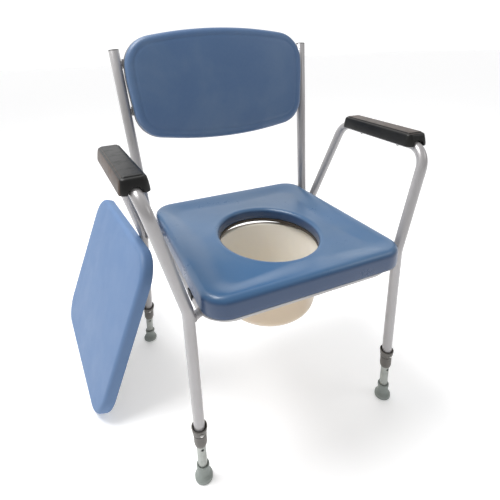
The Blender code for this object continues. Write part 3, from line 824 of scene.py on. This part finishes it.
# the board under it, with a bright edge line all round
boardRows = [(0.0100, 0.4120), (0.0022, 0.4120), (0.0012, 0.4123), (0.0010, 0.4129), (0.0018, 0.4133),
             (0.0070, 0.4134)]
bm = bmesh.new()
rings = []
for inset, z in boardRows:
    rings.append([Vector((p.x, p.y, z)) for p in inward(seatLine, inset)])
for grow, z in ((0.004, 0.4191), (-0.0004, 0.4189), (-0.0008, 0.4183), (-0.0008, 0.4127),
                (-0.0004, 0.4121), (0.006, 0.4120)):
    rings.append([Vector((*holePoint(a, grow).xy, z)) for a in holeAngles])
rows = skin(bm, rings)
for i in range(len(rows[0])):
    j = (i + 1) % len(rows[0])
    bm.faces.new((rows[-1][i], rows[-1][j], rows[0][j], rows[0][i]))
finishMesh("seat_board", bm, seamFinish, "frame", ("seat_base",), 35, Matrix.Translation(home))

# ---- pan ----
pan = {
    "rim": 0.136, "mouth": 0.1235, "floorRadius": 0.1115, "corner": 0.0355,
    "wall": 0.0022, "rimThickness": 0.003, "rimZ": 0.4044, "floorZ": 0.2490,
}
panTurns = [math.radians(90 - 7.5 * k) for k in range(13)]
centreR, centreZ = pan["floorRadius"] - pan["corner"], pan["floorZ"] + pan["corner"]
outer = [(centreR + pan["corner"] * math.cos(a), centreZ - pan["corner"] * math.sin(a)) for a in panTurns]
small = pan["corner"] - pan["wall"]
inner = [(centreR + small * math.cos(a), centreZ - small * math.sin(a)) for a in panTurns]
under = pan["rimZ"] - pan["rimThickness"]
mouth, rimEdge, rimTop = pan["mouth"], pan["rim"], pan["rimZ"]
rimLine = [(mouth - 0.001, under - 0.004), (mouth, under), (rimEdge - 0.0008, under),
           (rimEdge, under + 0.0008), (rimEdge, rimTop - 0.0010), (rimEdge - 0.0010, rimTop),
           (mouth + 0.0020, rimTop), (mouth - 0.0010, rimTop - 0.0012),
           (mouth - pan["wall"] - 0.0002, rimTop - 0.0045)]
panLine = [(0, pan["floorZ"])] + outer + rimLine + list(reversed(inner)) + [(0, pan["floorZ"] + pan["wall"])]
lathe("pan_bowl", panLine, panFinish, "pan", ("pan",), Matrix.Translation(at(0, chair["panY"], 0)), 96, 35)
print("seat and pan made")

# ---- arm pads ----
pad = {
    "start": 0.075, "end": 0.90, "halfWidth": 0.02600, "corner": 0.0135,
}
padRows = [(0.0008, -0.0010), (0.0002, -0.0006), (0.0, 0.0004), (0.0004, 0.0060), (0.0016, 0.0140),
           (0.0030, 0.0208), (0.0038, 0.0234), (0.0050, 0.0250), (0.0064, 0.0257), (0.0078, 0.0259),
           (0.0083, 0.0262), (0.0085, 0.0268), (0.0090, 0.0276), (0.0100, 0.0281), (0.0118, 0.0282)]


def armPoint(side, share):
    return mirrored(chair["armFront"], side).lerp(mirrored(chair["armRear"], side), share)


for sideName, side in sides.items():
    front, rear = armPoint(side, pad["start"]), armPoint(side, pad["end"])
    along = (rear - front).normalized()
    across = along.cross(Vector((0, 0, 1))).normalized()
    up = across.cross(along)
    place = Matrix((along, -across, up)).transposed().to_4x4()
    place.translation = front
    length = (rear - front).length
    half = pad["halfWidth"]
    outline = filletPath(((0, -half, 0), (length, -half, 0), (length, half, 0), (0, half, 0)),
                         [pad["corner"]] * 4, 12, closed=True)
    bm = bmesh.new()
    rings = []
    for inset, z in padRows:
        ring = []
        for p in inward(outline, inset):
            # the ends slope in more than the sides do
            lean = 0.35 * inset
            x = min(max(p.x, 0.0), length)
            x += lean if x < length / 2 else -lean
            ring.append(Vector((x, p.y, z)))
        rings.append(ring)
    made = skin(bm, rings)
    bm.faces.new(list(reversed(made[0])))
    bm.faces.new(made[-1])
    piece = finishMesh(f"arm_rest_{sideName}", bm, leftPadFinish if side < 0 else rightPadFinish,
                       "frame", (f"arm_pad_{sideName}",), 32, place)
    grooves = [bored(piece, front - along * 0.03, rear + along * 0.03, chair["tubeRadius"] + 0.0004, 40)]
    for tip, way in ((front, -1), (rear, 1)):
        grooves.append(bored(piece, tip - along * way * 0.004, tip + along * way * 0.03,
                             chair["tubeRadius"] + 0.0026, 40))
    cutAway(piece, grooves)
    for k, share in enumerate((0.28, 0.72)):
        label = f"{sideName}_{'front' if k == 0 else 'rear'}"
        spot = armPoint(side, share) - Vector((0, 0, chair["tubeRadius"] + 0.0002))
        turned = Matrix.Translation(spot) @ Matrix.Rotation(math.pi, 4, "X")
        screwHead(f"arm_rest_screw_{label}", turned, 0.0040, 0.0026, (f"arm_screw_{label}",))
print("arm pads made")

# ---- adjustable legs ----
leg = {
    "tube": 0.0095, "bore": 0.0083, "bottom": 0.0105, "top": 0.262, "lowestHole": 0.0875,
    "pitch": 0.023, "holes": 7, "holeRadius": 0.0031,
}
ferruleLine = softened([
    (0.0102, 0.0380), (0.0104, 0.0398), (0.0128, 0.0398), (0.0133, 0.0385), (0.0133, 0.0335),
    (0.0124, 0.0318), (0.0122, 0.0290), (0.0124, 0.0215), (0.0136, 0.0160), (0.0166, 0.0118),
    (0.0184, 0.0098), (0.0188, 0.0070), (0.0188, 0.0022), (0.0180, 0.0), (0.0, 0.0),
], 0.0016, 4)
ferruleLine += [(0.0, 0.0062), (0.0102, 0.0062)]
sleeveLine = softened([
    (0.0114, 0.1262), (0.0130, 0.1262), (0.0135, 0.1254), (0.0135, 0.1226), (0.0129, 0.1218),
    (0.0130, 0.1190), (0.0132, 0.1060), (0.0128, 0.1010), (0.0116, 0.0967), (0.0104, 0.0952),
    (0.0098, 0.0952), (0.0098, 0.1036), (0.0114, 0.1036),
], 0.0010, 4, True)
collarLine = softened([
    (0.0136, 0.1430), (0.0150, 0.1434), (0.0158, 0.1424), (0.0158, 0.1404), (0.0149, 0.1386),
    (0.0147, 0.1330), (0.0138, 0.1296), (0.0134, 0.1272), (0.0131, 0.1266), (0.0115, 0.1266),
    (0.0115, 0.1335), (0.0126, 0.1380),
], 0.0008, 4, True)


def cupShape(point, angle):
    # the rim stands higher at the sides and back than over the button
    lift = max(0.0, (point.z - 0.1372) / 0.0060)
    rise = 0.0030 * ease((math.sin(angle) + 0.75) / 1.2)
    return Vector((point.x, point.y, point.z + lift * rise))


def fluted(point, angle):
    low = ease((0.0215 - point.z) / 0.008) * ease((point.z - 0.009) / 0.005)
    shrink = 1 - 0.035 * low * (0.5 + 0.5 * math.cos(angle * 8))
    return Vector((point.x * shrink, point.y * shrink, point.z))


def makeLeg(label, side, isFront):
    foot, up = legLine(side, isFront)
    place = legPlace(side, isFront)
    body = f"leg_{label}"
    tubeLine = [(leg["bore"], leg["top"]), (leg["tube"] - 0.0004, leg["top"]),
                (leg["tube"], leg["top"] - 0.0004), (leg["tube"], leg["bottom"] + 0.0004),
                (leg["tube"] - 0.0004, leg["bottom"]), (leg["bore"], leg["bottom"])]
    inner = lathe(f"inner_leg_{label}", tubeLine, zincFinish, body, (f"leg_tube_{label}",), place, 40)
    holes = []
    for k in range(leg["holes"]):
        z = leg["lowestHole"] + k * leg["pitch"]
        holes.append(bored(inner, place @ Vector((0, -0.016, z)), place @ Vector((0, -0.002, z)),
                           leg["holeRadius"]))
    cutAway(inner, holes)

    shear = Matrix.Identity(4)
    shear[0][2], shear[1][2] = up.x / up.z, up.y / up.z
    lathe(f"rubber_foot_{label}", ferruleLine, rubberFinish, body, (f"ferrule_{label}",),
          Matrix.Translation(foot) @ shear, 56, 38, fluted)
    lathe(f"end_sleeve_{label}", sleeveLine, clipFinish, "frame", (f"leg_sleeve_{label}",), place, 48)
    collar = lathe(f"lock_cup_{label}", collarLine, clipFinish, "frame", (f"lock_collar_{label}",),
                   place, 56, 38, cupShape)
    cutAway(collar, [buttonBore(collar, place)])
    facing = place @ Matrix.Translation((0, -0.0139, chair["buttonZ"])) @ Matrix.Rotation(math.pi / 2, 4, "X")
    dome = [(0, 0.0036), (0.0012, 0.0035), (0.0022, 0.0030), (0.0029, 0.0022), (0.0032, 0.0010),
            (0.0032, 0.0), (0, 0.0)]
    lathe(f"push_button_{label}", softened(dome, 0.0008, 3), steelFinish, f"button_{label}",
          (f"lock_button_{label}",), facing, 32)


for sideName, side in sides.items():
    makeLeg(f"front_{sideName}", side, True)
    makeLeg(f"rear_{sideName}", side, False)
print("legs made")

# ---- loose seat cover ----
cover = {
    "length": 0.5100, "width": 0.4320, "thickness": 0.034, "corner": 0.0700, "place": (-0.4444, 0.0113),
    "heading": 0.1250, "lean": 0.4050, "crown": 0.0030, "roll": 0.012,
}
along = Vector((-math.sin(cover["heading"]), math.cos(cover["heading"]), 0))
level = Vector((math.cos(cover["heading"]), math.sin(cover["heading"]), 0))
rise = level * math.sin(cover["lean"]) + Vector((0, 0, math.cos(cover["lean"])))
outward = -level * math.cos(cover["lean"]) + Vector((0, 0, math.sin(cover["lean"])))
coverPlace = Matrix((along, rise, outward)).transposed().to_4x4()
coverPlace.translation = at(*cover["place"], cover["thickness"] * math.sin(cover["lean"]))
length, width = cover["length"], cover["width"]
coverLine = evenly(filletPath(((0, 0, 0), (length, 0, 0), (length, width, 0), (0, width, 0)),
                              [cover["corner"]] * 4, 26, closed=True), 200)
# from the floor of the recess that holds the board, over its edge, to the upright side
coverRows = [(0.0160, -0.0292), (0.0150, -0.0293), (0.0146, -0.0300), (0.0143, -0.0334), (0.0130, -0.0340),
             (0.0080, -0.0340), (0.0035, -0.0336), (0.0010, -0.0318), (0.0, -0.0290), (0.0, -0.0180)]
for k in range(9):
    a = math.pi / 2 * k / 8
    coverRows.append((cover["roll"] * (1 - math.cos(a)),
                      -cover["crown"] - cover["roll"] * (1 - math.sin(a))))
coverRows += [(0.016, -cover["crown"] + 0.0002), (0.021, -cover["crown"] + 0.0005)]
paddedDisc("cover_pad", coverLine, coverRows, Vector((length / 2, width / 2, 0)), coverFinish, "cover",
           ("cover_cushion",), coverPlace, cover["crown"] - 0.0006)
boardLine = evenly(filletPath(((0.015, 0.015, 0), (length - 0.015, 0.015, 0),
                               (length - 0.015, width - 0.015, 0), (0.015, width - 0.015, 0)),
                              [cover["corner"] - 0.015] * 4, 20, closed=True), 160)
bm = bmesh.new()
rings = []
for inset, z in ((0.050, -0.0330), (0.047, -0.0331), (0.045, -0.0337), (0.0030, -0.0337),
                 (0.0012, -0.0335), (0.0004, -0.0330), (0.0004, -0.0300), (0.0020, -0.0296)):
    rings.append([Vector((p.x, p.y, z)) for p in inward(boardLine, inset)])
made = skin(bm, rings)
bm.faces.new(made[0])
bm.faces.new(list(reversed(made[-1])))
finishMesh("cover_board", bm, boardFinish, "cover", ("cover_base",), 35, coverPlace)
print("cover made")

# ---- finishes for the solids that stay ----
kept = {"seat_clip": darkFinish, "pan_runner": boardFinish}
for name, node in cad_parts.items():
    for start, finish in kept.items():
        if name.startswith(start):
            for spot in node.material_slots:
                spot.material = finish

# ---- floor, light and camera ----
studio = {
    "floorColour": (0.97, 0.97, 0.975),
    "worldColour": (1.0, 1.0, 1.0),
    "worldFar": 1.10,
    "worldNear": 0.40,
    "worldTop": 0.10,
    "keyPlace": (-1.1, 0.5, 2.7),
    "keySize": 1.5,
    "keyPower": 62.0,
    "floorGlow": 0.24,
    "fillPlace": (1.6, -1.2, 1.8),
    "fillSize": 1.0,
    "fillPower": 5.0,
}
bm = bmesh.new()
bmesh.ops.create_grid(bm, x_segments=1, y_segments=1, size=30)
floorMesh = bpy.data.meshes.new("floor")
bm.to_mesh(floorMesh)
bm.free()
floor = bpy.data.objects.new("floor", floorMesh)
bpy.context.scene.collection.objects.link(floor)
ground = Surface("floor_paint", studio["floorColour"], 0.6)
ground.set("Roughness", 0.55 + ground.noise(3.0) * 0.1)
ground.set("Emission Color", (1.0, 1.0, 1.0, 1.0))
ground.set("Emission Strength", studio["floorGlow"])
floorMesh.materials.append(ground.material)



class Sky(Surface):  # the room: a bright backdrop behind the chair, darker on the near side
    def __init__(self, name):
        self.material = bpy.data.worlds.new(name)
        self.material.use_nodes = True
        self.tree = self.material.node_tree
        self.shader = self.tree.nodes["Background"]


sky = Sky("studio")
sky.set("Color", (*studio["worldColour"], 1.0))
heading = sky.add("ShaderNodeTexCoord", output="Generated")
backward = sky.split(heading, 1)
upwards = sky.split(heading, 2)
near = backward.smooth(-0.10, 0.55, studio["worldNear"], studio["worldFar"])
overhead = upwards.smooth(0.35, 0.9, 0.0, studio["worldTop"])
sky.set("Strength", near + overhead)
bpy.context.scene.world = sky.material
bpy.context.scene.view_settings.view_transform = "Standard"


def areaLight(name, place, target, size, power, colour=(1, 1, 1)):
    light = bpy.data.lights.new(name, "AREA")
    light.shape = "DISK"
    light.size = size
    light.energy = power
    light.color = colour
    lamp = bpy.data.objects.new(name, light)
    lamp.location = at(*place)
    lamp.rotation_mode = "QUATERNION"
    lamp.rotation_quaternion = (at(*target) - lamp.location).to_track_quat("-Z", "Y")
    bpy.context.scene.collection.objects.link(lamp)


areaLight("key_light", studio["keyPlace"], (0, 0, 0.4), studio["keySize"], studio["keyPower"])
areaLight("fill_light", studio["fillPlace"], (0, 0, 0.4), studio["fillSize"], studio["fillPower"])

camera = {
    "place": (-0.3561, -0.7499, 0.8513), "yaw": 0.3911, "pitch": -0.3257, "roll": -0.0391,
    "lens": 27.56, "shiftX": 0.0153, "shiftY": -0.1449,
}
yaw, pitch, roll = camera["yaw"], camera["pitch"], camera["roll"]
forward = Vector((math.sin(yaw) * math.cos(pitch), math.cos(yaw) * math.cos(pitch), math.sin(pitch)))
right = Vector((math.cos(yaw), -math.sin(yaw), 0))
upward = right.cross(forward)
rightRolled = right * math.cos(roll) + upward * math.sin(roll)
upRolled = -right * math.sin(roll) + upward * math.cos(roll)
lens = bpy.data.cameras.new("camera")
lens.sensor_width = 36
lens.lens = camera["lens"]
lens.shift_x, lens.shift_y = camera["shiftX"], camera["shiftY"]
lens.clip_start = 0.02
viewer = bpy.data.objects.new("camera", lens)
pose = Matrix((rightRolled, upRolled, -forward)).transposed().to_4x4()
pose.translation = at(*camera["place"])
viewer.matrix_world = pose
bpy.context.scene.collection.objects.link(viewer)
bpy.context.scene.camera = viewer

print("stage, lights and camera set")
